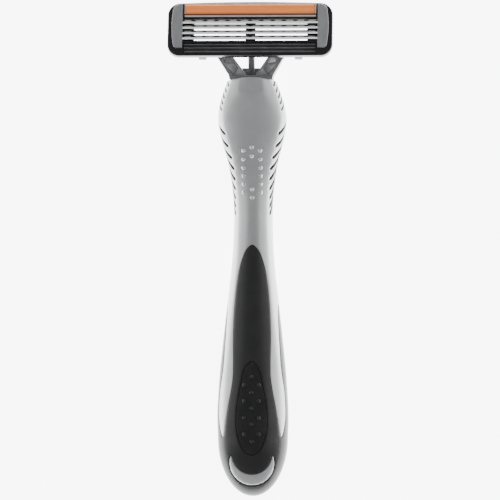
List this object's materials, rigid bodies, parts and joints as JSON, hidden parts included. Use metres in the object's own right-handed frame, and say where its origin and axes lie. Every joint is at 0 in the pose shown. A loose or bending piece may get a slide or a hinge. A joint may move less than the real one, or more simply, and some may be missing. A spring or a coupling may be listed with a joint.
{
  "type": "cartridge razor",
  "caption": "Wet-shaving razor with a pivoting multi-blade cartridge, a Y-shaped yoke and a curved rubber-gripped handle.",
  "frame": {"origin": "middle of the base of the whole razor's box: the razor lies on its back, so Z = 0 is what it lies on", "axes": "+X across the handle to the right as seen from the front, +Y along the handle from the tail to the head, +Z out of the front of the handle, on the blades' side"},
  "size_m": [0.044, 0.1328, 0.0235],
  "materials": {
    "handle_silver": "silver-lacquered plastic, satin",
    "grip_rubber": "soft moulded rubber, satin black",
    "pad_rubber": "soft moulded rubber, matt with raised dots",
    "yoke_grey": "moulded plastic, satin dark grey",
    "spring_steel": "drawn steel wire",
    "housing_black": "moulded plastic, gloss black",
    "tray_clear": "frosted clear plastic",
    "strip_orange": "water-soluble polymer strip, satin orange",
    "guard_rubber": "soft moulded rubber, satin black",
    "cap_grey": "moulded plastic, satin grey",
    "comb_black": "moulded plastic, black",
    "blade_steel": "ground and coated stainless steel",
    "support_steel": "folded stainless steel sheet"
  },
  "bodies": {
    "handle": {"handle_body": "handle_silver", "grip_overmould": "grip_rubber", "palm_pad": "pad_rubber", "finger_rest": "grip_rubber", "pivot_yoke": "yoke_grey", "plunger_spring": "spring_steel"},
    "plunger": {"plunger": "yoke_grey"},
    "cartridge": {"cartridge_housing": "housing_black", "strip_tray": "tray_clear", "lubricating_strip": "strip_orange", "guard_fins": "guard_rubber", "end_cap_left": "cap_grey", "end_cap_right": "cap_grey", "spring_comb_left": "comb_black", "spring_comb_right": "comb_black"},
    "blade_unit_1": {"blade_1": "blade_steel", "blade_support_1": "support_steel"},
    "blade_unit_2": {"blade_2": "blade_steel", "blade_support_2": "support_steel"},
    "blade_unit_3": {"blade_3": "blade_steel", "blade_support_3": "support_steel"},
    "blade_unit_4": {"blade_4": "blade_steel", "blade_support_4": "support_steel"}
  },
  "joints": [
    {"name": "head_pivot", "type": "hinge", "parent": "handle", "child": "cartridge", "pos_m": [0, 0.05289, 0.0176], "axis": [-1, 0, 0], "range_deg": [0, 40], "stiffness_Nm_per_rad": 0.004, "springref_deg": -20.05},
    {"name": "plunger_slide", "type": "slide", "parent": "handle", "child": "plunger", "axis": [0, -0.9659, -0.2588], "range_m": [0, 0.002], "deforming": ["plunger_spring"]},
    {"name": "blade_1_travel", "type": "slide", "parent": "cartridge", "child": "blade_unit_1", "axis": [0, -0.309, -0.9511], "range_m": [0, 0.00035], "stiffness_N_per_m": 300, "springref_m": -0.0003, "deforming": ["spring_comb_left", "spring_comb_right"]},
    {"name": "blade_2_travel", "type": "slide", "parent": "cartridge", "child": "blade_unit_2", "axis": [0, -0.309, -0.9511], "range_m": [0, 0.00035], "stiffness_N_per_m": 300, "springref_m": -0.0003},
    {"name": "blade_3_travel", "type": "slide", "parent": "cartridge", "child": "blade_unit_3", "axis": [0, -0.309, -0.9511], "range_m": [0, 0.00035], "stiffness_N_per_m": 300, "springref_m": -0.0003},
    {"name": "blade_4_travel", "type": "slide", "parent": "cartridge", "child": "blade_unit_4", "axis": [0, -0.309, -0.9511], "range_m": [0, 0.00035], "stiffness_N_per_m": 300, "springref_m": -0.0003}
  ],
  "couplings": [
    {"joint": "plunger_slide", "follows": "head_pivot", "m_per_rad": 0.0028626}
  ]
}
